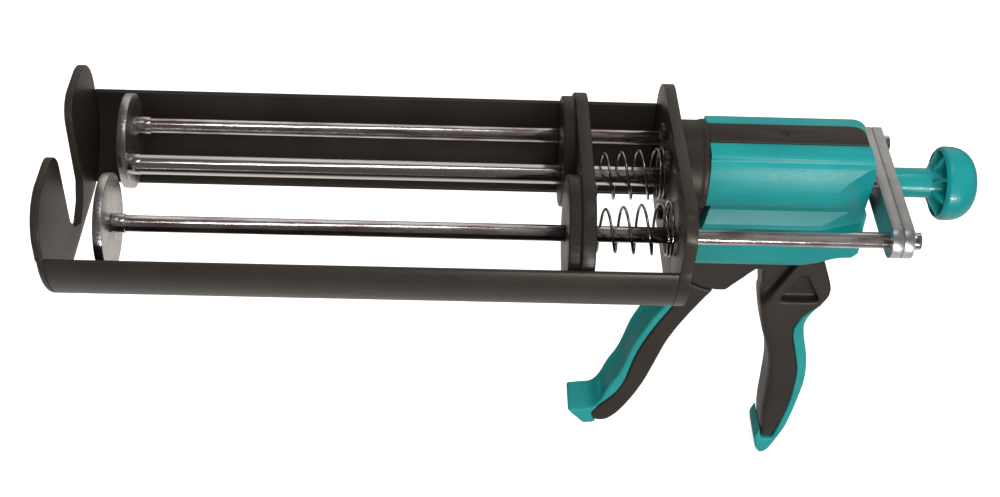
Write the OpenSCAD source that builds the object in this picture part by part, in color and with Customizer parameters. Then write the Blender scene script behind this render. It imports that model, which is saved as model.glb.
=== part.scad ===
// Two-cartridge hand caulking gun: an open cradle for two side-by-side cartridges,
// a ratcheting drive rod, two guide rods, and a trigger handle hung off the drive rod.
// X runs from the nozzle end (-X) to the knob (+X), Z is up, and the origin is midway
// between the two cartridge axes on the inner face of the front plate.

/* [Cradle] */
// Distance between the two cartridge axes
pitch = 51.2; // [48:0.2:54]
// Clear length between the front plate and the rear plate
cradle_len = 235.5; // [225:0.5:245]
// Outer radius of each curved side rail
rail_r = 27.2; // [26.8:0.1:28]
// Thickness of the rail sheet
rail_t = 1.8; // [1.5:0.1:2.2]
// Angle of the near rail's upper edge above the cartridge axis
near_rail_top_a = 8.5; // [6:0.5:14]
// Angle of the far rail's upper edge above the cartridge axis
far_rail_top_a = 14; // [10:0.5:16]
// Angle of the rail's lower edge below the cartridge axis
rail_bottom_a = 79; // [70:1:84]
// Thickness of the front plate
front_plate_t = 3.2; // [3:0.1:4]
// Thickness of the rear plate
rear_plate_t = 4.4; // [3.8:0.1:4.6]
// Height of the front plate's lobes above the cartridge axes
lobe_top = 26.6; // [25:0.2:28]
// Radius of the front plate's outer top corners
lobe_r = 17; // [14:0.5:20]
// Half width of the outlet notch in the front plate
notch_half = 13; // [11:0.5:14]
// Depth of the outlet notch below the cartridge axes
notch_depth = 22.5; // [20:0.5:24]
// Height of the rear plate at its near top corner
rear_near_top = 29.5; // [28:0.2:31]
// Height of the rear plate at its far top corner
rear_far_top = 25.8; // [25:0.2:29]
// Radius of the rear plate's near top corner
rear_near_r = 10; // [8:0.5:14]
// Radius of the rear plate's far top corner
rear_far_r = 20; // [16:0.5:24]

/* [Pusher] */
// Diameter of the drive rod
drive_rod_d = 8; // [7.5:0.1:8.2]
// Diameter of the two guide rods
guide_rod_d = 6.4; // [6:0.1:6.8]
// Diameter of the two pusher discs
disc_d = 38.6; // [37:0.2:39.4]
// Thickness of the pusher discs
disc_t = 3.5; // [3:0.1:4]
// Gap from the front plate to the discs with the pusher at rest
disc_gap = 16.7; // [12:0.1:20]
// Thickness of the pair of link plates
link_t = 8.6; // [7.6:0.2:9.6]
// Height of the link plates
link_h = 13.8; // [13:0.2:15]
// Diameter of the knob's head
knob_d = 30.2; // [28:0.2:32]

/* [Cartridge plate] */
// Position of the plate's rear face
clamp_x = 204; // [200:0.5:208]
// Thickness of the plate's flange
flange_t = 5.4; // [4:0.2:6]
// Height of the two round bosses in front of the flange
boss_h = 4.8; // [3:0.1:5]
// Wire diameter of the two plate springs
spring_wire = 1.1; // [0.9:0.1:1.3]

/* [Handle] */
// Sideways place of the handle and the drive rod
grip_y = 10.6; // [10:0.2:12]
// Width of the handle and of the trigger
grip_w = 18; // [17:0.5:19]
// Width of the slot that the trigger and its plates work in
slot_w = 13; // [12.6:0.2:13.4]
// Rear end of the side covers
body_rear = 317; // [316:0.5:318]
// Height of the trigger's pivot
pivot_z = -29.5; // [-30:0.5:-28.5]

/* [Hidden] */
$fn = 64;
eps = 0.1;
hip_y = 52;
hip_top_a = 12;
notch_r = 10;
partition_front = 287;
partition_rear = 292;
strip_t = 4.3;
strip_half = 5.9;

near_y = -pitch / 2;
far_y = pitch / 2;
far_rod_y = 36.2;
rod_run = 0.08;
loose_run = 0.35;
press_gap = 0.04;

rear_x = cradle_len;
neck_x = rear_x + rear_plate_t;
disc_back = disc_gap + disc_t;
link_x = 320.1;
link_half = link_t / 2;
knob_x = link_x + link_t;
tenon_d = 5.3;
far_tenon_d = 3;
rod_collar = 5;
rod_head_d = 6.8;
rod_head_t = 3.8;
stud_d = 6;

neck_r = 17.8;
neck_z = 7;
collar_x = 248.6;
core_front = 246;
core_rear = 314;
core_top = 19;
core_bottom = -31.5;
chamber_front = 244.5;
chamber_rear = 311;
chamber_top = 12.5;
chamber_bottom = -14;
pivot_x = 266;
pin_d = 5;
arm_len = 20;
nose_r = 3.5;
web_t = 12;
ear_r = 25.4;
cover_x = 250.8;
cover_wall = 2.4;
cover_bottom = -33.8;
bush_d = 12;
drive_plate_t = 1.5;
drive_plate_gap = 0.3;
release_x = 306;
release_z = -17;
release_pin_d = 3.5;
release_eye_d = 6.4;
release_w = 4;
drive_plate_half = 5.8;

// ---- outlines -------------------------------------------------------------

// Points along an arc, from angle a0 to angle a1 in n steps
function arc(c, r, a0, a1, n) =
  [for (i = [0:n]) c + r * [cos(a0 + (a1 - a0) * i / n), sin(a0 + (a1 - a0) * i / n)]];

// The same points mirrored across the vertical line through zero, in reverse order
function flip(p) = [for (i = [len(p) - 1:-1:0]) [-p[i][0], p[i][1]]];

// One Catmull-Rom span between b and c
function span(a, b, c, d, t) =
  (2 * b + (c - a) * t + (2 * a - 5 * b + 4 * c - d) * t * t
  + (3 * b - a - 3 * c + d) * t * t * t) / 2;

// A smooth curve through the points p, with n steps between neighbours
function smooth(p, n) = concat(
  [for (i = [0:len(p) - 2]) for (k = [0:n - 1])
    span(p[max(i - 1, 0)], p[i], p[i + 1], p[min(i + 2, len(p) - 1)], k / n)],
  [p[len(p) - 1]]);

// Lays an outline drawn in Y and Z across the gun, from x to x + t
module across(x, t) {
  translate([x, 0, 0]) rotate([90, 0, 90]) linear_extrude(t) children();
}

// Stands an outline drawn in X and Z along the gun, from y to y + t
module along(y, t) {
  translate([0, y + t, 0]) rotate([90, 0, 0]) linear_extrude(t) children();
}

// A round bar along X at height z
module bar(x, y, z, d, len) {
  translate([x, y, z]) rotate([0, 90, 0]) cylinder(d = d, h = len);
}

// A round pin across the gun, centred on the handle
module cross_pin(x, z, d, len) {
  translate([x, grip_y, z]) rotate([90, 0, 0]) cylinder(d = d, h = len, center = true);
}

// A screw along X whose head's outer face is at x and whose shank runs to +X
module screw_x(x, y, z, head_d, head_t, shank_d, len) {
  bar(x, y, z, head_d, head_t);
  bar(x + head_t - eps, y, z, shank_d, len + eps);
}

// A coil of round wire along X. Its radius goes from r0 to r1 and its centre height
// from z0 to z1. The last turns, closed of them, lie close together, and the wire is
// at the top of the coil phase turns after its start.
module coil(x0, x1, y, z0, z1, r0, r1, wire, turns, closed, phase, steps, sides) {
  free_turns = turns - closed;
  tight = wire * 1.25;
  lead = (x1 - x0 - wire - closed * tight) / free_turns;
  rings = floor(turns * steps);
  function wire_x(t) =
    x0 + wire / 2 + (t < free_turns ? lead * t : lead * free_turns + tight * (t - free_turns));
  function centre(i) =
    let (t = i / steps, s = t / turns, r = r0 + (r1 - r0) * s, a = 360 * (t - phase))
    [wire_x(t), y - r * sin(a), z0 + (z1 - z0) * s + r * cos(a)];
  function outward(i) = let (a = 360 * (i / steps - phase)) [0, -sin(a), cos(a)];
  points = [for (i = [0:rings]) for (k = [0:sides - 1])
    centre(i) + wire / 2 * (outward(i) * cos(360 * k / sides) + [1, 0, 0] * sin(360 * k / sides))];
  walls = [for (i = [0:rings - 1]) for (k = [0:sides - 1])
    let (n = (k + 1) % sides)
    [i * sides + k, (i + 1) * sides + k, (i + 1) * sides + n, i * sides + n]];
  first = [for (k = [0:sides - 1]) k];
  last = [for (k = [sides - 1:-1:0]) rings * sides + k];
  polyhedron(points, concat(walls, [first, last]), convexity = 8);
}

// ---- cradle ---------------------------------------------------------------

// Half of the outline below the rail's upper edge, shared by both end plates
function hip() = arc([far_y, 0], rail_r, hip_top_a, -90, 24);

module front_plate() {
  half = concat(
    [[0, -notch_depth], [8, -18], [notch_half - 0.5, -11]],
    arc([notch_half + notch_r, lobe_top - notch_r], notch_r, 180, 90, 10),
    arc([hip_y - lobe_r, lobe_top - lobe_r], lobe_r, 90, 0, 14),
    hip());
  color("#35302c") across(-front_plate_t, front_plate_t)
    polygon(concat(half, flip(half)));
}

module rear_plate() {
  near = [-hip_y - 2, rear_near_top];
  far = [hip_y + 0.5, rear_far_top];
  color("#35302c") difference() {
    across(rear_x, rear_plate_t) polygon(concat(
      arc(far - [rear_far_r, rear_far_r], rear_far_r, 90, 0, 14),
      hip(), flip(hip()),
      arc(near + [rear_near_r, -rear_near_r], rear_near_r, 180, 90, 12)));
    bar(rear_x - 1, grip_y, 0, drive_rod_d + 2 * loose_run, rear_plate_t + 2);
    bar(rear_x - 1, near_y, 0, guide_rod_d + 3, rear_plate_t + 2);
    bar(rear_x - 1, far_rod_y, 0, guide_rod_d + 3, rear_plate_t + 2);
    for (p = neck_screw_places()) bar(rear_x - 1, p[0], p[1], 4.4, rear_plate_t + 2);
  }
}

// A side rail bent about the cartridge axis at y, on the side s (-1 near, 1 far)
module rail(y, s, top_a) {
  reach = 2 * rail_r;
  wedge = concat([[0, 0]], arc([0, 0], reach, top_a, -rail_bottom_a, 6));
  color("#3a3530") across(0, cradle_len) translate([y, 0]) intersection() {
    difference() {
      circle(r = rail_r, $fn = 128);
      circle(r = rail_r - rail_t, $fn = 128);
    }
    polygon(s > 0 ? wedge : flip(wedge));
  }
}

module near_rail() {
  rail(near_y, -1, near_rail_top_a);
}

module far_rail() {
  rail(far_y, 1, far_rail_top_a);
}

// ---- handle frame ---------------------------------------------------------

function neck_screw_places() =
  [[grip_y - 6.7, -12.6], [grip_y + 6.7, -12.6], [grip_y - 9, 16], [grip_y + 9, 16]];

// Side outline of the black grip, from the front of the neck of the handle downwards
function grip_front() = smooth([[281, -42], [282.4, -54], [284, -67], [287, -80], [291, -92],
  [293.2, -104], [293.9, -116], [294.2, -128], [294.8, -138], [296.2, -147]], 5);
function grip_back() = smooth([[301.7, -148.7], [303, -142.8], [304.4, -135], [305.8, -125.4],
  [306.3, -112], [305.7, -101.2], [302.3, -87.9], [300.2, -79], [301.4, -71.5],
  [309.4, -62]], 5);
function grip_heel() = smooth([[309.4, -62], [311.7, -57.8], [312.2, -53], [310.2, -46.3],
  [306, -36.4], [304, -31]], 5);
function grip_outline() = concat(grip_front(), [[297, -148.5]], grip_back(), grip_heel());

// Palm side of the soft pad, from its top down to the bottom of its toe
function palm_curve() = smooth([[310.3, -61.5], [307.1, -66.3], [304.7, -73], [305.6, -81],
  [309.1, -94.9], [310.6, -108.4], [309.6, -122], [308.1, -133.9], [306.3, -142.7],
  [302, -154.7], [300.1, -157.8], [297.5, -158.8], [295.2, -156]], 5);

module handle_frame() {
  side = grip_w / 2;
  color("#332e2a") difference() {
    union() {
      bar(neck_x, grip_y, neck_z, 2 * neck_r, cover_x - neck_x);
      bar(collar_x, grip_y, neck_z, 2 * neck_r + 1, cover_x - collar_x);
      translate([neck_x, grip_y - side, -30]) cube([core_front + 6 - neck_x, grip_w, 24]);
      along(grip_y - side, grip_w) polygon([[core_front, core_bottom], [core_rear, core_bottom],
        [core_rear, core_top], [core_front, core_top]]);
      // ears that carry the trigger pin, and the grip
      along(grip_y - side, grip_w) polygon(concat(
        [[244.9, -29]], arc([pivot_x, pivot_z], ear_r - 0.5, 212, 262, 10),
        [[267, -54.2], [278.3, -41.9]], grip_outline(), [[307, -28]]));
    }
    // front chamber for the drive plates, and rear chamber for the lock plate
    for (c = [[chamber_front, partition_front], [partition_rear, chamber_rear]])
      translate([c[0], grip_y - slot_w / 2, chamber_bottom])
        cube([c[1] - c[0], slot_w, chamber_top - chamber_bottom]);
    bar(partition_front - 1, grip_y, 0, drive_rod_d + 2 * loose_run, 7);
    translate([296, grip_y - slot_w / 2, -25]) cube([chamber_rear - 296, slot_w, 20]);
    // slot for the trigger's web, open below
    along(grip_y - slot_w / 2, slot_w) polygon([[240, -60], [240, -30.5], [252, -30.5],
      [252, -10], [284, -10], [284, -40], [279, -42.5], [274, -47], [270, -60]]);
    // window for the release lever
    translate([chamber_rear - 1, grip_y - 5.5, -22]) cube([6, 11, 11]);
    bar(neck_x - 1, grip_y, 0, bush_d, chamber_front - neck_x + 2);
    bar(chamber_rear - 1, grip_y, 0, bush_d, core_rear - chamber_rear + 2);
    cross_pin(pivot_x, pivot_z, pin_d + press_gap, grip_w + 2);
    cross_pin(release_x, release_z, release_pin_d + press_gap, grip_w + 2);
    for (p = cover_screw_places()) translate([p[0], grip_y + side - 6, p[1]])
      rotate([-90, 0, 0]) cylinder(d = 2.9, h = 7);
    for (p = neck_screw_places()) bar(neck_x - 1, p[0], p[1], 3.5,
      chamber_front - neck_x + 1);
    handle_recesses();
  }
}

// The diagonal groove and the rounded triangular pocket on both sides of the grip
module handle_recesses() {
  depth = 5.5;
  for (y = [grip_y - grip_w / 2 - 1, grip_y + grip_w / 2 + 1 - depth]) {
    along(y, depth) polygon([[293.4, -35], [297.4, -35], [284.4, -62.7], [278, -60],
      [281.8, -53.7]]);
    along(y, depth) polygon(concat(
      arc([293.2, -58.6], 1.7, 135, 270, 5), arc([306, -58.6], 1.7, -90, 40, 5),
      arc([299.4, -46.8], 2, 40, 135, 4)));
  }
}

module top_strip() {
  color("#2e2926") difference() {
    translate([0, 0, core_top]) linear_extrude(strip_t) polygon(concat(
      [[cover_x, grip_y + strip_half], [cover_x, grip_y - strip_half], [core_rear, grip_y - strip_half]],
      arc([core_rear - 5, grip_y + strip_half - 5], 5, 0, 90, 8)));
    translate([281, grip_y, core_top + strip_t - 0.5]) cylinder(d = 3.4, h = 2);
  }
}

module palm_pad() {
  color("#1fa6a0") along(grip_y - grip_w / 2, grip_w) difference() {
    polygon(concat(palm_curve(), [[294, -151.5], [293.4, -148.3], [295.2, -142.6], [299, -135],
      [299, -80], [305, -62]]));
    polygon(concat([[279, -30]], grip_outline()));
  }
}

// ---- side covers ----------------------------------------------------------

// Outer outline of a cover: distance out from the handle's middle plane, and height
function cover_skin() = concat(
  [[strip_half + 0.1, 22.6], [12.2, 21.9]], arc([12.4, 20.7], 1.1, 70, -10, 4),
  [[13.7, 19.3], [14.6, 18.7]],
  smooth([[15.3, 17.8], [16.8, 12.3], [17.4, 6.3], [16.9, 0.2]], 6),
  [[16.2, -1.2], [13.4, -2.2], [13, -5.8], [15.6, -11.3], [15.6, -30.8], [14.4, cover_bottom]]);

module cover_blank(s) {
  inner = [[14.4 - cover_wall, cover_bottom], [grip_w / 2, -31], [grip_w / 2, core_top],
    [strip_half + 0.1, core_top]];
  across(cover_x, body_rear - cover_x) translate([grip_y, 0])
    polygon([for (p = concat(cover_skin(), inner)) [s * p[0], p[1]]]);
}

// Side view of a cover: a small step in the front edge below the bulge, and the lower
// rear corner swept up
module cover_side_view() {
  polygon(concat([[cover_x - 1, 24], [cover_x - 1, -2], [cover_x + 2.8, -2.6], [cover_x + 2.8, -5],
    [cover_x - 0.2, -15], [cover_x - 1, -40], [290, -40]],
    smooth([[290, cover_bottom], [296, -33.4], [302, -30.9], [307, -29], [311, -28.2],
      [body_rear - 2.4, -28]], 4),
    [[body_rear, -25.5], [body_rear, 14], [body_rear - 2, 21.5], [body_rear - 2.6, 24]]));
}

// A flat facet that slopes in towards the rear end, from the bulge's top corner down
module cover_facet(s) {
  translate([body_rear - 1, grip_y, 0]) mirror([0, s > 0 ? 0 : 1, 0])
    translate([0, 14.6, 18.8]) rotate([0, 0, -18]) rotate([-8, 0, 0])
      translate([-40, 0, -33]) cube([80, 30, 60]);
}

module cover(s) {
  cavity = [[grip_w / 2 - 1, 14], [12.2, 14], [14.4, 6], [14.2, 1], [10.8, -2.6], [10.6, -6.6],
    [13.2, -13], [13.2, -22], [grip_w / 2 - 1, -22]];
  difference() {
    intersection() {
      cover_blank(s);
      along(grip_y - 30, 60) cover_side_view();
    }
    across(cover_x + cover_wall, 300 - cover_x - cover_wall) translate([grip_y, 0])
      polygon([for (p = cavity) [s * p[0], p[1]]]);
    cover_facet(s);
  }
}

function cover_screw_places() = [[257, 15.8], [306, 15.8], [298, -28]];

module near_cover() {
  color("#1fa6a0") cover(-1);
}

module far_cover() {
  corner = [body_rear - 2.2 - 6, grip_y + 13.4 - 6];
  color("#1fa6a0") difference() {
    cover(1);
    // the far rear corner is rounded above the bulge
    translate([corner[0], corner[1], 13]) difference() {
      cube([12, 12, 12]);
      translate([0, 0, -1]) cylinder(r = 6, h = 14);
    }
    for (p = cover_screw_places()) translate([p[0], grip_y + grip_w / 2 - 1, p[1]])
      rotate([-90, 0, 0]) cylinder(d = 3.4, h = 20);
    for (p = cover_screw_places()) translate([p[0], grip_y + grip_w / 2 + 2.5, p[1]])
      rotate([-90, 0, 0]) cylinder(d = 6.6, h = 20);
  }
}

module cover_screws() {
  color("#9a9a98") for (p = cover_screw_places())
    translate([p[0], grip_y + grip_w / 2 + 2.5, p[1]]) rotate([-90, 0, 0]) difference() {
      union() {
        cylinder(d = 6, h = 2);
        translate([0, 0, -7.5]) cylinder(d = 2.8, h = 8);
      }
      translate([0, 0, 1]) cylinder(d = 3, h = 2, $fn = 6);
    }
}

// ---- fixed hardware -------------------------------------------------------

module neck_screws() {
  color("#8f8f8d") for (p = neck_screw_places()) difference() {
    screw_x(rear_x - 2.2, p[0], p[1], 7, 2.2, 3.4, chamber_front - rear_x - 0.2);
    bar(rear_x - 3, p[0], p[1], 3.6, 1.8, $fn = 6);
  }
}

module bush(x, len) {
  difference() {
    bar(x, grip_y, 0, bush_d, len);
    bar(x - 1, grip_y, 0, drive_rod_d + 2 * rod_run, len + 2);
  }
}

module front_bush() {
  color("#b08d4a") bush(neck_x, chamber_front - neck_x);
}

module rear_bush() {
  color("#b08d4a") bush(chamber_rear, core_rear - chamber_rear);
}

module rod_bushes() {
  color("#24211f") for (y = [near_y, far_rod_y]) difference() {
    union() {
      bar(rear_x, y, 0, guide_rod_d + 3, rear_plate_t);
      bar(neck_x, y, 0, guide_rod_d + 5, 1.2);
    }
    bar(rear_x - 1, y, 0, guide_rod_d + 2 * rod_run, rear_plate_t + 4);
  }
}

// ---- trigger --------------------------------------------------------------

// Rear edge of the trigger's grip, from the toe up to the ears
function trigger_back() = smooth([[222.4, -138.7], [226.4, -135.6], [230.7, -129.2],
  [234.8, -121], [238.7, -111.1], [242.2, -99], [245.6, -87.1], [250.2, -76.2], [254.9, -67.2],
  [259.6, -58.3], [262.5, -53]], 4);
// Seam between the black lever and its soft finger pad, from the top down
function trigger_seam() = smooth([[249.3, -55.2], [245.4, -65.1], [241.6, -72.4],
  [237.9, -80.6], [234.6, -89.1], [232.2, -97.6], [230.8, -104.5], [229.1, -111.4],
  [226.6, -117.7], [223.5, -123.1], [219.6, -127.6], [216, -133.2], [218.3, -138.6]], 4);
// Front edge of the finger pad, from the toe up
function finger_curve() = concat([[212.9, -140.8], [207.3, -134.6], [204.8, -131.6]],
  smooth([[205.6, -130.6], [212.1, -130.4], [216.4, -128.8], [219.6, -123.8], [222.4, -115.4],
  [226, -107.5], [228.2, -100], [230.6, -89.7], [233.5, -82], [238.1, -71.7], [241.9, -64.4],
  [245.6, -54.6]], 5));

module trigger_lever() {
  color("#332e2a") difference() {
    union() {
      // grip, as wide as the handle, kept clear of the ears as it swings
      difference() {
        along(grip_y - grip_w / 2, grip_w) polygon(concat(trigger_back(), [[262, -46],
          [248, -46], [245.6, -54.6]], trigger_seam()));
        cross_pin(pivot_x, pivot_z, 2 * ear_r, grip_w + 2);
      }
      // web between the ears, with the arm that works the drive plates
      along(grip_y - web_t / 2, web_t) polygon([[250, -56], [254.2, -45.5], [256.6, -36],
        [pivot_x - 7, pivot_z], [pivot_x + 7, pivot_z], [pivot_x + 6, -40], [262, -56],
        [254, -66.5], [246.4, -66.5]]);
      cross_pin(pivot_x, pivot_z, 15, web_t);
      along(grip_y - web_t / 2, web_t) polygon([[pivot_x - 4.4, pivot_z], [pivot_x + 4.4, pivot_z],
        [pivot_x + nose_r, pivot_z + arm_len], [pivot_x - nose_r, pivot_z + arm_len]]);
      cross_pin(pivot_x, pivot_z + arm_len, 2 * nose_r, web_t);
    }
    cross_pin(pivot_x, pivot_z, pin_d + 2 * rod_run, web_t + 2);
  }
}

module trigger_pad() {
  color("#1fa6a0") difference() {
    along(grip_y - grip_w / 2, grip_w) polygon(concat(finger_curve(), trigger_seam()));
    // kept clear of the ears as it swings
    cross_pin(pivot_x, pivot_z, 2 * ear_r, grip_w + 2);
    // shallow hollow that the fingers lie in
    along(grip_y - grip_w / 2 + 3, grip_w - 6) polygon(concat(
      [for (p = finger_curve()) if (p[1] > -126) p + [1.2, -0.4]], [[230, -46], [200, -100],
      [200, -126]]));
  }
}

module trigger_pin() {
  color("#b9b9b6") cross_pin(pivot_x, pivot_z, pin_d, grip_w - 0.4);
}

module drive_plates() {
  back = pivot_x - nose_r - drive_plate_gap;
  color("#8b8780") for (i = [0, 1]) difference() {
    translate([back - (i + 1) * (drive_plate_t + 0.05), grip_y - drive_plate_half, -13])
      cube([drive_plate_t, 2 * drive_plate_half, 24]);
    bar(back - 10, grip_y, 0, drive_rod_d + 2 * rod_run, 20);
  }
}

module drive_spring() {
  front = chamber_front + 0.1;
  back = pivot_x - nose_r - drive_plate_gap - 2 * drive_plate_t - 0.3;
  color("#a7a7a4") coil(front, back, grip_y, 0, 0, 5.2, 5.2, 0.9, 4.5, 1, 0.7, 16, 6);
}

// ---- rod lock -------------------------------------------------------------

module lock_plate() {
  color("#8b8780") difference() {
    union() {
      translate([303, grip_y - drive_plate_half, -15]) cube([2, 2 * drive_plate_half, 26.5]);
      cross_pin(release_x, release_z, release_eye_d, 2 * drive_plate_half);
      translate([303, grip_y - drive_plate_half, -17]) cube([3, 2 * drive_plate_half, 3]);
    }
    bar(300, grip_y, 0, drive_rod_d + 1.2, 8);
    cross_pin(release_x, release_z, release_pin_d + 2 * rod_run, 14);
    cross_pin(release_x, release_z, 6.6, 4.6);
    translate([release_x - 1, grip_y - 2.3, release_z - 4]) cube([6, 4.6, 5]);
  }
}

module lock_spring() {
  color("#a7a7a4") coil(partition_rear + 0.1, 302.8, grip_y, 0, 0, 5.2, 5.2, 0.8, 4, 1, 0.7, 16, 6);
}

module release_lever() {
  color("#1c8f8a") difference() {
    union() {
      cross_pin(release_x, release_z, release_eye_d, release_w);
      along(grip_y - 2, 4) polygon([[release_x, -19.5], [318.5, -20.5], [318.5, -14.5],
        [release_x, -14.2]]);
      along(grip_y - 7, 14) polygon([[317.3, -12], [318.5, -10], [319.7, -12], [319.7, -28],
        [318.5, -31], [317.3, -29]]);
    }
    cross_pin(release_x, release_z, release_pin_d + 2 * rod_run, 14);
  }
}

module release_pin() {
  color("#b9b9b6") cross_pin(release_x, release_z, release_pin_d, grip_w - 0.4);
}

// ---- pusher ---------------------------------------------------------------

module disc(y, holes) {
  color("#b9bab8") difference() {
    bar(disc_gap, y, 0, disc_d, disc_t, $fn = 128);
    for (h = holes) bar(disc_gap - 1, h, 0, 3.4, disc_t + 2);
    for (h = holes) translate([disc_gap - 0.01, h, 0]) rotate([0, 90, 0])
      cylinder(d1 = 7, d2 = 3.4, h = 1.9);
  }
}

module near_disc() {
  disc(near_y, [near_y]);
}

module far_disc() {
  disc(far_y, [grip_y, far_rod_y]);
}

module disc_screws() {
  color("#9a9a98") for (y = [near_y, grip_y, far_rod_y]) difference() {
    translate([disc_gap + 0.15, y, 0]) rotate([0, 90, 0]) union() {
      cylinder(d1 = 6.2, d2 = 2.8, h = 1.75);
      cylinder(d = 2.8, h = 11);
    }
    bar(disc_gap - 1, y, 0, 2.6, 2.2, $fn = 6);
  }
}

// A rod from the disc to the link plates, tapped for its screw, with a collar behind
// the disc and an end of diameter end_d that goes tail mm past the link plates' front
module rod(y, d, collar_d, end_d, tail) {
  difference() {
    union() {
      bar(disc_back, y, 0, d, link_x - disc_back);
      bar(disc_back, y, 0, collar_d, rod_collar);
      bar(link_x - eps, y, 0, end_d, tail + eps);
    }
    bar(disc_back - 1, y, 0, 2.9, 9.5);
  }
}

// A guide rod, whose end goes through both link plates and is headed over behind them
module guide_rod(y, end_d) {
  color("#c9cac9") {
    rod(y, guide_rod_d, guide_rod_d + 1, end_d, link_t + 1);
    bar(knob_x, y, 0, rod_head_d, rod_head_t);
  }
}

module drive_rod() {
  color("#c9cac9") rod(grip_y, drive_rod_d, drive_rod_d + 0.3, stud_d, link_t + 14);
}

module near_rod() {
  guide_rod(near_y, tenon_d);
}

module far_rod() {
  guide_rod(far_rod_y, far_tenon_d);
}

// Outline of a link plate: round at the near end, cut at the corners at the far end
module link_outline(inset) {
  h = link_h / 2 - inset;
  end = 40.8 - inset;
  cut = 2.4;
  polygon(concat(arc([near_y, 0], h, 90, 270, 24),
    [[end - cut, -h], [end, -h + cut], [end, h - cut], [end - cut, h]]));
}

// One link plate from x, with the seam side inset by a small step at seam_x
module link_plate(x, seam_x) {
  seam_t = 0.25;
  color("#a9aaa8") difference() {
    union() {
      across(seam_x > x ? x : x + seam_t, link_half - seam_t) link_outline(0);
      across(x, link_half) link_outline(0.35);
    }
    bar(x - 1, near_y, 0, tenon_d + press_gap, link_half + 2);
    bar(x - 1, far_rod_y, 0, far_tenon_d + press_gap, link_half + 2);
    bar(x - 1, grip_y, 0, stud_d + press_gap, link_half + 2);
  }
}

module link_front() {
  link_plate(link_x, link_x + link_half);
}

module link_rear() {
  link_plate(link_x + link_half, link_x);
}

module knob() {
  head_r = knob_d / 2;
  // start of the hollow head, widest place of its dome and tip, along the knob
  head_x = 15.1;
  dome_x = head_x + 6.6;
  tip_x = head_x + 18.6;
  full = 0.8;
  rim = smooth([[head_r - 1.4, head_x + 3.2], [head_r - 0.2, head_x + 4.6], [head_r, dome_x]], 4);
  dome = [for (i = [1:11]) [head_r * pow(cos(90 * i / 12), full),
    dome_x + (tip_x - dome_x) * pow(sin(90 * i / 12), full)]];
  hollow = smooth([[7.2, head_x + 7.5], [6.2, head_x + 3], [6.05, head_x]], 4);
  color("#1fa6a0") difference() {
    translate([knob_x, grip_y, 0]) rotate([0, 90, 0]) union() {
      rotate_extrude() polygon(concat([[0, 0], [5.6, 0], [6.05, 0.5]],
        [for (i = [len(hollow) - 1:-1:0]) hollow[i]], [[head_r - 2.6, head_x + 6.4]], rim, dome,
        [[0, tip_x]]));
      for (a = [0:45:315]) rotate([0, 0, a]) rotate([90, 0, 0])
        linear_extrude(1.4, center = true)
          polygon([[5, head_x - 0.6], [7.5, head_x + 0.2], [head_r - 1.6, head_x + 3.4],
            [head_r - 2, head_x + 6.8], [5, head_x + 8]]);
    }
    bar(knob_x - 1, grip_y, 0, stud_d + press_gap, 15.5);
  }
}

// ---- cartridge plate ------------------------------------------------------

module cartridge_plate() {
  flange_r = rail_r - rail_t - 1.1;
  boss_r = 22.8;
  front = clamp_x - flange_t;
  color("#2f2b28") difference() {
    union() {
      for (y = [near_y, far_y]) bar(front, y, 0, 2 * flange_r, flange_t, $fn = 128);
      translate([front, near_y, -flange_r]) cube([flange_t, pitch, 2 * flange_r]);
      for (y = [near_y, far_y]) bar(front - boss_h, y, 0, 2 * boss_r, boss_h + 1, $fn = 128);
    }
    bar(front - 10, near_y, 0, guide_rod_d + 2 * loose_run, 30);
    bar(front - 10, far_rod_y, 0, guide_rod_d + 2 * loose_run, 30);
    bar(front - 10, grip_y, 0, drive_rod_d + 2 * loose_run, 30);
  }
}

module drive_rod_spring() {
  color("#8e8e8c") coil(clamp_x + 0.1, rear_x - 0.1, grip_y, -1, 2.3, 8.8, 10.6, spring_wire,
    5.6, 1.6, 1.06, 20, 8);
}

module near_rod_spring() {
  color("#8e8e8c") coil(clamp_x + 0.1, rear_x - 0.1, near_y, 1.6, 4.2, 7.8, 11.2, spring_wire,
    5.6, 1.6, 0.8, 20, 8);
}

// ---- assembly -------------------------------------------------------------

front_plate();
rear_plate();
near_rail();
far_rail();
handle_frame();
top_strip();
near_cover();
far_cover();
cover_screws();
palm_pad();
neck_screws();
front_bush();
rear_bush();
rod_bushes();
trigger_lever();
trigger_pad();
trigger_pin();
drive_plates();
drive_spring();
lock_plate();
lock_spring();
release_lever();
release_pin();
drive_rod();
near_rod();
far_rod();
near_disc();
far_disc();
disc_screws();
link_front();
link_rear();
knob();
cartridge_plate();
drive_rod_spring();
near_rod_spring();
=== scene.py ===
import math

import bmesh
import bpy
from mathutils import Matrix, Vector


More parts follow.
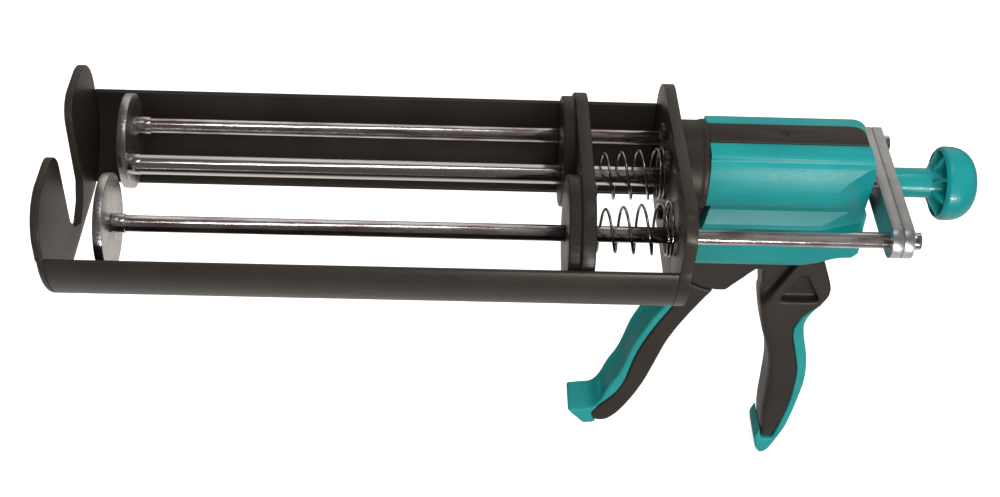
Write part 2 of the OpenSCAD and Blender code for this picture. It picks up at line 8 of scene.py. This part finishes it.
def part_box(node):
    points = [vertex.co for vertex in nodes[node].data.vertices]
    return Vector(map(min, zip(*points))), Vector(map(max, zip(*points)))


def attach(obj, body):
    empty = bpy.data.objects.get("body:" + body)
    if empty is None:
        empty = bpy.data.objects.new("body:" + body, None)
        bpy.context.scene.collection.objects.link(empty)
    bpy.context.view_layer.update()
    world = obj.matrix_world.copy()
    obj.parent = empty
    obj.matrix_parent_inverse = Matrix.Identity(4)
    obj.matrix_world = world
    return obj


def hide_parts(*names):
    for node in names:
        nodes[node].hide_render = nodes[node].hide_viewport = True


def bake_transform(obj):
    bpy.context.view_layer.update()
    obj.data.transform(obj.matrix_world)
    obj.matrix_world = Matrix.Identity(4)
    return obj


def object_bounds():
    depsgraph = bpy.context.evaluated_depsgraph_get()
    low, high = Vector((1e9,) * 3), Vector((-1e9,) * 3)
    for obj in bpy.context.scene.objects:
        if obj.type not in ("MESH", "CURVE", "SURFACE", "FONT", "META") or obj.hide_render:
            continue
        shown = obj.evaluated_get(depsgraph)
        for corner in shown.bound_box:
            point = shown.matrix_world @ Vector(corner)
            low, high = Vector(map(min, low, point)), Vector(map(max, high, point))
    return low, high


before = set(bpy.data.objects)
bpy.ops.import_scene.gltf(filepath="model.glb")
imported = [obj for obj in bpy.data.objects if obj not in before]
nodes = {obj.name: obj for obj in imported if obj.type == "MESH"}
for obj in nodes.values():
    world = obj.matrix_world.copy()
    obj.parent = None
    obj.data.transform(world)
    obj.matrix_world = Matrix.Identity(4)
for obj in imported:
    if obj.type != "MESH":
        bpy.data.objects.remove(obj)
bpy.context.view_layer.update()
scene = bpy.context.scene

# ---- materials ---------------------------------------------------------------


def coords(tree, scale):
    """Object coordinates, stretched by scale along X, Y and Z."""
    place = tree.nodes.new("ShaderNodeTexCoord")
    stretch = tree.nodes.new("ShaderNodeMapping")
    stretch.inputs["Scale"].default_value = scale
    tree.links.new(place.outputs["Object"], stretch.inputs["Vector"])
    return stretch.outputs["Vector"]


def noise(tree, scale, stretch=(1, 1, 1), detail=3.0, rough=0.5):
    """Fractal noise in object space, between 0 and 1."""
    n = tree.nodes.new("ShaderNodeTexNoise")
    n.inputs["Scale"].default_value = scale
    n.inputs["Detail"].default_value = detail
    n.inputs["Roughness"].default_value = rough
    tree.links.new(coords(tree, stretch), n.inputs["Vector"])
    return n.outputs["Fac"]


def ramp(tree, fac, stops):
    """A colour that runs through the stops, each a place and a colour."""
    r = tree.nodes.new("ShaderNodeValToRGB")
    while len(r.color_ramp.elements) < len(stops):
        r.color_ramp.elements.new(0.5)
    for e, (at, colour) in zip(r.color_ramp.elements, stops):
        e.position = at
        e.color = (*colour, 1.0)
    tree.links.new(fac, r.inputs["Fac"])
    return r.outputs["Color"]


def level(tree, fac, low, high, start=0.3, end=0.7):
    """Goes from low to high while fac goes from start to end."""
    m = tree.nodes.new("ShaderNodeMapRange")
    m.inputs["From Min"].default_value = start
    m.inputs["From Max"].default_value = end
    m.inputs["To Min"].default_value = low
    m.inputs["To Max"].default_value = high
    tree.links.new(fac, m.inputs["Value"])
    return m.outputs["Result"]


def edges(tree, radius):
    """Near 1 on a convex or concave edge and 0 on a flat, found with a rounded normal."""
    rounded = tree.nodes.new("ShaderNodeBevel")
    rounded.samples = 4
    rounded.inputs["Radius"].default_value = radius
    flat = tree.nodes.new("ShaderNodeNewGeometry")
    same = tree.nodes.new("ShaderNodeVectorMath")
    same.operation = "DOT_PRODUCT"
    tree.links.new(rounded.outputs["Normal"], same.inputs[0])
    tree.links.new(flat.outputs["Normal"], same.inputs[1])
    return level(tree, same.outputs["Value"], 1.0, 0.0, 0.72, 0.99)


def finish_of(name, tones, grain, patches, rough, bump, metallic=0.0, coat=0.0,
              stretch=(1, 1, 1), blend=(0.35, 0.65), tint=(1, 1, 1), wear_and_highlight=None):
    """A surface with a slow colour change, a fine grain in its height, and uneven gloss.
    Where an edge colour is given, its convex and concave edges turn to that lighter colour in
    broken patches, partly edge wear and partly a painted highlight along the edges."""
    m = bpy.data.materials.new(name)
    m.use_nodes = True
    tree = m.node_tree
    shader = tree.nodes["Principled BSDF"]
    shader.inputs["Metallic"].default_value = metallic
    shader.inputs["Coat Weight"].default_value = coat
    shader.inputs["Specular Tint"].default_value = (*tint, 1.0)
    shader.inputs["Specular IOR Level"].default_value = 0.5 if metallic else 0.28
    slow = noise(tree, patches, stretch, 4.0)
    colour = ramp(tree, slow, [(blend[0], tones[0]), (blend[1], tones[1])])
    # lighter colour on convex and concave edges: partly edge wear, partly a painted highlight
    if wear_and_highlight:
        wear_and_highlight_mask = tree.nodes.new("ShaderNodeMath")
        wear_and_highlight_mask.operation = "MULTIPLY"
        tree.links.new(edges(tree, 0.0009), wear_and_highlight_mask.inputs[0])
        tree.links.new(level(tree, noise(tree, 420, detail=4.0), 0.15, 0.8), wear_and_highlight_mask.inputs[1])
        mix = tree.nodes.new("ShaderNodeMix")
        mix.data_type = "RGBA"
        mix.inputs[7].default_value = (*wear_and_highlight, 1.0)
        tree.links.new(wear_and_highlight_mask.outputs["Value"], mix.inputs[0])
        tree.links.new(colour, mix.inputs[6])
        colour = mix.outputs[2]
    tree.links.new(colour, shader.inputs["Base Color"])
    fine = noise(tree, grain, stretch, 2.0, 0.6)
    tree.links.new(level(tree, fine, rough[0], rough[1]), shader.inputs["Roughness"])
    height = tree.nodes.new("ShaderNodeBump")
    height.inputs["Strength"].default_value = bump[0]
    height.inputs["Distance"].default_value = bump[1]
    tree.links.new(fine, height.inputs["Height"])
    tree.links.new(height.outputs["Normal"], shader.inputs["Normal"])
    return m


warm = (1.0, 0.88, 0.77)
# a finish's last, lighter colour goes on its edges: partly edge wear, partly a painted highlight
paint = finish_of("frame_paint", [(0.027, 0.0225, 0.0185), (0.037, 0.0305, 0.0255)], 1700, 34,
                  (0.33, 0.45), (0.12, 0.00012), tint=warm, wear_and_highlight=(0.06, 0.051, 0.043))
black = finish_of("body_black", [(0.026, 0.0215, 0.018), (0.035, 0.029, 0.0245)], 2000, 30,
                  (0.42, 0.54), (0.2, 0.00015), tint=warm, wear_and_highlight=(0.07, 0.06, 0.05))
plate_black = finish_of("plate_black", [(0.019, 0.0165, 0.0145), (0.027, 0.0235, 0.0205)], 1700,
                        34, (0.34, 0.46), (0.12, 0.00012), tint=warm, wear_and_highlight=(0.05, 0.045, 0.04))
teal = finish_of("teal_shell", [(0.006, 0.325, 0.335), (0.010, 0.385, 0.385)], 1700, 45,
                 (0.33, 0.50), (0.34, 0.00022), wear_and_highlight=(0.04, 0.50, 0.48))
rubber = finish_of("teal_grip", [(0.010, 0.34, 0.335), (0.015, 0.395, 0.385)], 2100, 45,
                   (0.5, 0.62), (0.22, 0.0002), wear_and_highlight=(0.03, 0.45, 0.43))
knob_teal = finish_of("teal_knob", [(0.006, 0.32, 0.33), (0.010, 0.36, 0.365)], 1300, 45,
                      (0.26, 0.36), (0.08, 0.0001), coat=0.1, wear_and_highlight=(0.04, 0.48, 0.45))
# the darker reddish tone, streaked along these rods, is a painted reflection of a dark mottled
# band
rod = finish_of("rod_steel", [(0.78, 0.77, 0.765), (0.40, 0.29, 0.29)], 2600, 300,
                (0.12, 0.26), (0.14, 0.00005), metallic=1.0, stretch=(0.16, 1, 1),
                blend=(0.44, 0.66))
smooth_rod = finish_of("drive_rod_steel", [(0.78, 0.77, 0.765), (0.60, 0.56, 0.55)], 2600, 300,
                       (0.10, 0.2), (0.06, 0.00004), metallic=1.0, stretch=(0.03, 1, 1))
zinc = finish_of("zinc_plate", [(0.46, 0.465, 0.47), (0.56, 0.565, 0.565)], 1800, 90,
                 (0.34, 0.5), (0.2, 0.0001), metallic=1.0, wear_and_highlight=(0.7, 0.7, 0.69))
disc_zinc = finish_of("disc_zinc", [(0.50, 0.505, 0.505), (0.62, 0.59, 0.54)], 1300, 80,
                      (0.24, 0.42), (0.5, 0.00016), metallic=1.0, wear_and_highlight=(0.82, 0.82, 0.8))
wire = finish_of("spring_steel", [(0.36, 0.35, 0.34), (0.52, 0.51, 0.50)], 2400, 200,
                 (0.2, 0.32), (0.1, 0.00005), metallic=1.0)
hard = finish_of("plain_steel", [(0.30, 0.28, 0.26), (0.42, 0.40, 0.38)], 1500, 120,
                 (0.3, 0.45), (0.2, 0.0001), metallic=1.0)
screw = finish_of("screw_steel", [(0.50, 0.50, 0.49), (0.64, 0.64, 0.62)], 1600, 120,
                  (0.22, 0.36), (0.15, 0.0001), metallic=1.0)
dark_screw = finish_of("black_screw", [(0.035, 0.032, 0.03), (0.06, 0.055, 0.05)], 1600, 120,
                       (0.25, 0.4), (0.2, 0.0001), metallic=0.6, wear_and_highlight=(0.35, 0.33, 0.31))
bronze = finish_of("bronze", [(0.50, 0.34, 0.16), (0.62, 0.44, 0.22)], 1500, 120,
                   (0.3, 0.42), (0.15, 0.0001), metallic=1.0)
nylon = finish_of("bush_black", [(0.016, 0.015, 0.014), (0.024, 0.022, 0.021)], 1700, 60,
                  (0.3, 0.42), (0.15, 0.0001))

WEARS = {
    paint: ["front_plate", "rear_plate", "near_rail", "far_rail"],
    black: ["handle_frame", "top_strip", "trigger_lever"],
    plate_black: ["cartridge_plate"],
    teal: ["near_cover", "far_cover", "release_lever"],
    rubber: ["palm_pad", "trigger_pad"],
    knob_teal: ["knob"],
    rod: ["near_rod", "far_rod"],
    smooth_rod: ["drive_rod"],
    disc_zinc: ["near_disc", "far_disc"],
    zinc: ["link_front", "link_rear"],
    wire: ["drive_spring", "lock_spring"],
    hard: ["drive_plates", "lock_plate"],
    screw: ["cover_screws", "disc_screws", "trigger_pin", "release_pin"],
    dark_screw: ["neck_screws"],
    bronze: ["front_bush", "rear_bush"],
    nylon: ["rod_bushes"],
}
for m, names in WEARS.items():
    for n in names:
        nodes[n].data.materials.clear()
        nodes[n].data.materials.append(m)

# ---- edges of the CAD pieces ---------------------------------------------------


def clean(node):
    """Joins the mesh's face patches and turns its flat triangles into whole faces."""
    o = nodes[node]
    weld = o.modifiers.new("weld", "WELD")
    weld.merge_threshold = 0.00001
    flat = o.modifiers.new("flat", "DECIMATE")
    flat.decimate_type = "DISSOLVE"
    flat.angle_limit = math.radians(0.6)
    o.data.shade_smooth()
    return o


def soften(node, width, segments=3, angle=30):
    """Rounds a piece's edges."""
    o = clean(node)
    edge = o.modifiers.new("edge", "BEVEL")
    edge.width = width
    edge.segments = segments
    edge.limit_method = "ANGLE"
    edge.angle_limit = math.radians(angle)
    edge.harden_normals = True
    return o


def share(value):
    """The value, held between 0 and 1."""
    return min(1.0, max(0.0, value))


base_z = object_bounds()[0][2]
slice_height = 0.001
toe_height = 0.012
toe_fade = 0.004
neck_fade = 0.012


def mould(name, node, voxel, body, free, below, rounds=70):
    """A moulded piece with soft edges. It is remeshed finely and relaxed a little all over,
    and then much more near its free side and in its toe, below a given height. free holds
    that side along X, how deep the softness goes and over what depth it fades."""
    o = nodes[node]
    side, reach, fade = free
    fine = o.modifiers.new("fine", "REMESH")
    fine.mode = "VOXEL"
    fine.voxel_size = voxel
    mesh = bpy.data.meshes.new_from_object(
        o.evaluated_get(bpy.context.evaluated_depsgraph_get()))
    o.modifiers.remove(fine)
    mesh.name = name
    piece = bpy.data.objects.new(name, mesh)
    scene.collection.objects.link(piece)
    mesh.shade_smooth()
    slices = {}
    for v in mesh.vertices:
        k = round(v.co.z / slice_height)
        front, back = slices.get(k, (1.0, 0.0))
        slices[k] = (min(front, v.co.x), max(back, v.co.x))
    soft = piece.vertex_groups.new(name="soft")
    for v in mesh.vertices:
        front, back = slices[round(v.co.z / slice_height)]
        depth = v.co.x - front if side < 0 else back - v.co.x
        weight = share((reach - depth) / fade)
        weight = max(weight, share((base_z + toe_height - v.co.z) / toe_fade))
        weight *= share((below - v.co.z) / neck_fade)
        if weight > 0:
            soft.add([v.index], weight, "REPLACE")
    relax = piece.modifiers.new("relax", "SMOOTH")
    relax.factor = 0.5
    relax.iterations = 10
    more = piece.modifiers.new("more", "SMOOTH")
    more.factor = 0.5
    more.iterations = rounds
    more.vertex_group = "soft"
    fewer = piece.modifiers.new("fewer", "DECIMATE")
    fewer.ratio = 0.4
    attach(piece, body)
    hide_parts(node)
    piece.data.materials.clear()
    piece.data.materials.append(o.data.materials[0])


def roll_over(name, node, widest=0.0027, narrow=0.0005):
    """The front plate, whose outer edge rolls over into the side rails. The roll is widest
    along the rails and fades out above them and along the flat bottom. All other sharp
    edges get the narrow width."""
    mesh = nodes[node].data.copy()
    mesh.name = name
    work = bmesh.new()
    work.from_mesh(mesh)
    bmesh.ops.remove_doubles(work, verts=work.verts, dist=0.00001)
    bmesh.ops.dissolve_limit(work, angle_limit=math.radians(0.5), verts=work.verts,
                             edges=work.edges)
    axis_y = (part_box("far_disc")[0].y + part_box("far_disc")[1].y) / 2
    outer_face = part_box(node)[0].x
    rim_distance = 0.024
    width = work.edges.layers.float.new("bevel_weight_edge")
    for e in work.edges:
        if not e.is_manifold or e.calc_face_angle(0.0) < math.radians(35):
            continue
        e[width] = narrow / widest
        middle = (e.verts[0].co + e.verts[1].co) / 2
        out = abs(middle.y) - axis_y
        on_rim = math.hypot(out, middle.z) > rim_distance and abs(middle.y) > rim_distance
        if on_rim and all(abs(v.co.x - outer_face) < 0.00002 for v in e.verts):
            turn = math.degrees(math.atan2(middle.z, out))
            by_rail = min(1.0, max(0.0, (18 - turn) / 16), max(0.0, (turn + 90) / 12))
            e[width] = max(e[width], by_rail)
    work.to_mesh(mesh)
    work.free()
    o = bpy.data.objects.new(name, mesh)
    scene.collection.objects.link(o)
    mesh.shade_smooth()
    edge = o.modifiers.new("edge", "BEVEL")
    edge.width = widest
    edge.segments = 6
    edge.limit_method = "WEIGHT"
    edge.use_clamp_overlap = False
    edge.harden_normals = True
    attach(o, "frame")
    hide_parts(node)


roll_over("front_plate_formed", "front_plate")
soften("rear_plate", 0.0008)
for n in ("near_rail", "far_rail"):
    soften(n, 0.0004)
for n in ("near_cover", "far_cover"):
    soften(n, 0.0005, angle=22)
soften("top_strip", 0.0011)
soften("cartridge_plate", 0.0008)
for n in ("link_front", "link_rear"):
    soften(n, 0.0005, 2)
for n in ("near_disc", "far_disc"):
    soften(n, 0.0004, 2)
soften("knob", 0.0004, 2, 40)
for n in ("release_lever", "neck_screws", "cover_screws", "disc_screws", "rod_bushes"):
    soften(n, 0.0002, 2)
for n in ("drive_rod", "near_rod", "far_rod", "trigger_pin", "release_pin", "lock_plate",
          "drive_plates", "front_bush", "rear_bush"):
    soften(n, 0.0002, 2, 50)
nodes["lock_spring"].data.shade_smooth()

ears_z = -0.055
mould("handle_casting", "handle_frame", 0.0005, "frame", (-1, 0.010, 0.005), ears_z,
      rounds=170)
mould("trigger_casting", "trigger_lever", 0.0005, "trigger", (1, 0.008, 0.004),
      ears_z)
mould("palm_rubber", "palm_pad", 0.0004, "frame", (1, 0.0042, 0.002), ears_z)
mould("finger_rubber", "trigger_pad", 0.0004, "trigger", (-1, 0.005, 0.002),
      ears_z + 0.005)

# ---- springs ---------------------------------------------------------------------


def spring(name, node, radii, rises, y, phase, wire_r=0.00055, turns=5.6, closed=1.6):
    """A coil of round wire along X. Its rear turns lie close
    together, and it sags a little towards the front at the top. Its radius and its height
    go from the first to the second value of each pair."""
    low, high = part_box(node)
    tight = 2.5 * wire_r
    sag = 0.0006
    steps = 40
    sides = 10
    length = high.x - low.x - 2 * wire_r
    lead = (length - closed * tight) / (turns - closed)
    rings = int(turns * steps)
    verts = []
    faces = []
    for i in range(rings + 1):
        t = i / steps
        s = t / turns
        a = 2 * math.pi * (t - phase)
        r = radii[0] + (radii[1] - radii[0]) * s
        x = low.x + wire_r + (lead * t if t < turns - closed else
                              lead * (turns - closed) + tight * (t - turns + closed))
        lean = sag * math.cos(a) * math.sin(math.pi * min(1.0, s * 1.15))
        out = Vector((0, -math.sin(a), math.cos(a)))
        centre = Vector((x - lean, y, rises[0] + (rises[1] - rises[0]) * s)) + r * out
        for k in range(sides):
            b = 2 * math.pi * k / sides
            verts.append(centre + wire_r * (out * math.cos(b) + Vector((1, 0, 0)) * math.sin(b)))
    for i in range(rings):
        for k in range(sides):
            n = (k + 1) % sides
            faces.append((i * sides + k, (i + 1) * sides + k, (i + 1) * sides + n, i * sides + n))
    faces.append(tuple(range(sides)))
    faces.append(tuple(rings * sides + k for k in reversed(range(sides))))
    mesh = bpy.data.meshes.new(name)
    mesh.from_pydata(verts, [], faces)
    mesh.shade_smooth()
    o = bpy.data.objects.new(name, mesh)
    scene.collection.objects.link(o)
    o.data.materials.append(wire)
    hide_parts(node)
    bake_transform(o)


near_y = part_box("near_rod")[0].y / 2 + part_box("near_rod")[1].y / 2
main_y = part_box("drive_rod")[0].y / 2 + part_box("drive_rod")[1].y / 2
spring("near_spring_coil", "near_rod_spring", (0.0078, 0.0112), (0.0016, 0.0042), near_y, 0.8)
spring("main_spring_coil", "drive_rod_spring", (0.0088, 0.0106), (-0.0010, 0.0023), main_y,
       1.06)
spring("drive_spring_coil", "drive_spring", (0.0052, 0.0052), (0, 0), main_y, 0.7,
       wire_r=0.00045, turns=4.5, closed=1)

# ---- floor, light and camera -------------------------------------------------------

floor_gap = 0.0005
floor_mesh = bpy.data.meshes.new("floor")
reach = 6.0
floor_mesh.from_pydata([(-reach, -reach, 0), (reach, -reach, 0), (reach, reach, 0),
                        (-reach, reach, 0)], [], [(0, 1, 2, 3)])
floor = bpy.data.objects.new("floor", floor_mesh)
floor.location.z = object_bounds()[0][2] - floor_gap
scene.collection.objects.link(floor)
floor_mat = finish_of("pale_floor", [(0.90, 0.90, 0.90), (0.93, 0.93, 0.93)], 60, 2,
                      (0.7, 0.85), (0.02, 0.0002))
lit = floor_mat.node_tree.nodes["Principled BSDF"]
lit.inputs["Emission Color"].default_value = (1.0, 1.0, 1.0, 1.0)
lit.inputs["Emission Strength"].default_value = 0.7
floor.data.materials.append(floor_mat)
floor.visible_diffuse = False
floor.visible_glossy = False

world = bpy.data.worlds.new("studio")
scene.world = world
world.use_nodes = True
sky = world.node_tree
around = sky.nodes.new("ShaderNodeTexCoord")


def glow(towards, start, end, low, high):
    """Radiance of the studio that rises towards one direction."""
    facing = sky.nodes.new("ShaderNodeVectorMath")
    facing.operation = "DOT_PRODUCT"
    facing.inputs[1].default_value = Vector(towards).normalized()
    sky.links.new(around.outputs["Generated"], facing.inputs[0])
    return level(sky, facing.outputs["Value"], low, high, start, end)


def added(a, b):
    """The sum of two radiances."""
    total = sky.nodes.new("ShaderNodeMath")
    total.operation = "ADD"
    sky.links.new(a, total.inputs[0])
    sky.links.new(b, total.inputs[1])
    return total.outputs["Value"]


# a light band behind the gun and a pale wall past the knob, then the pale floor, which
# mirrors and bounced light see in the world's glow and not in the floor itself
walls = added(glow((0.1, 0.90, 0.42), 0.80, 0.93, 0.09, 0.75),
              glow((0.93, -0.15, 0.3), 0.6, 1.0, 0.0, 0.3))
sky.links.new(added(walls, glow((0, 0.25, -1), 0.42, 0.8, 0.0, 0.72)),
              sky.nodes["Background"].inputs["Strength"])
sky.nodes["Background"].inputs["Color"].default_value = (1.0, 0.95, 0.90, 1.0)


def sun(name, towards, spread, power):
    """A wide, even lamp that lights surfaces but isn't mirrored in them."""
    lamp = bpy.data.lights.new(name, "SUN")
    lamp.angle = math.radians(spread)
    lamp.energy = power
    o = bpy.data.objects.new(name, lamp)
    o.rotation_euler = Vector(towards).to_track_quat("-Z", "Y").to_euler()
    o.visible_glossy = False
    scene.collection.objects.link(o)


def softbox(name, at, target, width, height, power):
    """A rectangular lamp that shines at a target and shows in the metal."""
    lamp = bpy.data.lights.new(name, "AREA")
    lamp.shape = "RECTANGLE"
    lamp.size = width
    lamp.size_y = height
    lamp.energy = power
    o = bpy.data.objects.new(name, lamp)
    o.location = at
    o.rotation_euler = (Vector(target) - Vector(at)).to_track_quat("-Z", "Y").to_euler()
    scene.collection.objects.link(o)
    return o


sun("dome", (0, 0.15, -1), 100, 1.0)
sun("front_fill", (-0.15, 0.9, -0.35), 60, 2.1)
# a strip of light low in front, which only gloss picks up
sheen = softbox("low_front", (0.46, -0.95, -0.13), (0.26, 0.0, 0.01), 0.5, 0.06, 10)
sheen.visible_diffuse = False
softbox("key_above", (0.35, -0.1, 1.2), (0.17, 0.0, -0.02), 0.8, 0.08, 2.2)

scene.view_settings.view_transform = "Standard"

cam = bpy.data.cameras.new("camera")
cam.sensor_width = 36.0
cam.lens = 54.78
cam.clip_start = 0.01
camera = bpy.data.objects.new("camera", cam)
right = Vector((0.99920, -0.009835, 0.038802))
up = Vector((-0.022351, 0.667107, 0.744619))
ahead = Vector((0.033209, 0.74489, -0.66635))
camera.matrix_world = Matrix((
    (right.x, up.x, -ahead.x, 0.1493),
    (right.y, up.y, -ahead.y, -0.4677),
    (right.z, up.z, -ahead.z, 0.3868),
    (0, 0, 0, 1)))
scene.collection.objects.link(camera)
scene.camera = camera

bpy.context.view_layer.update()
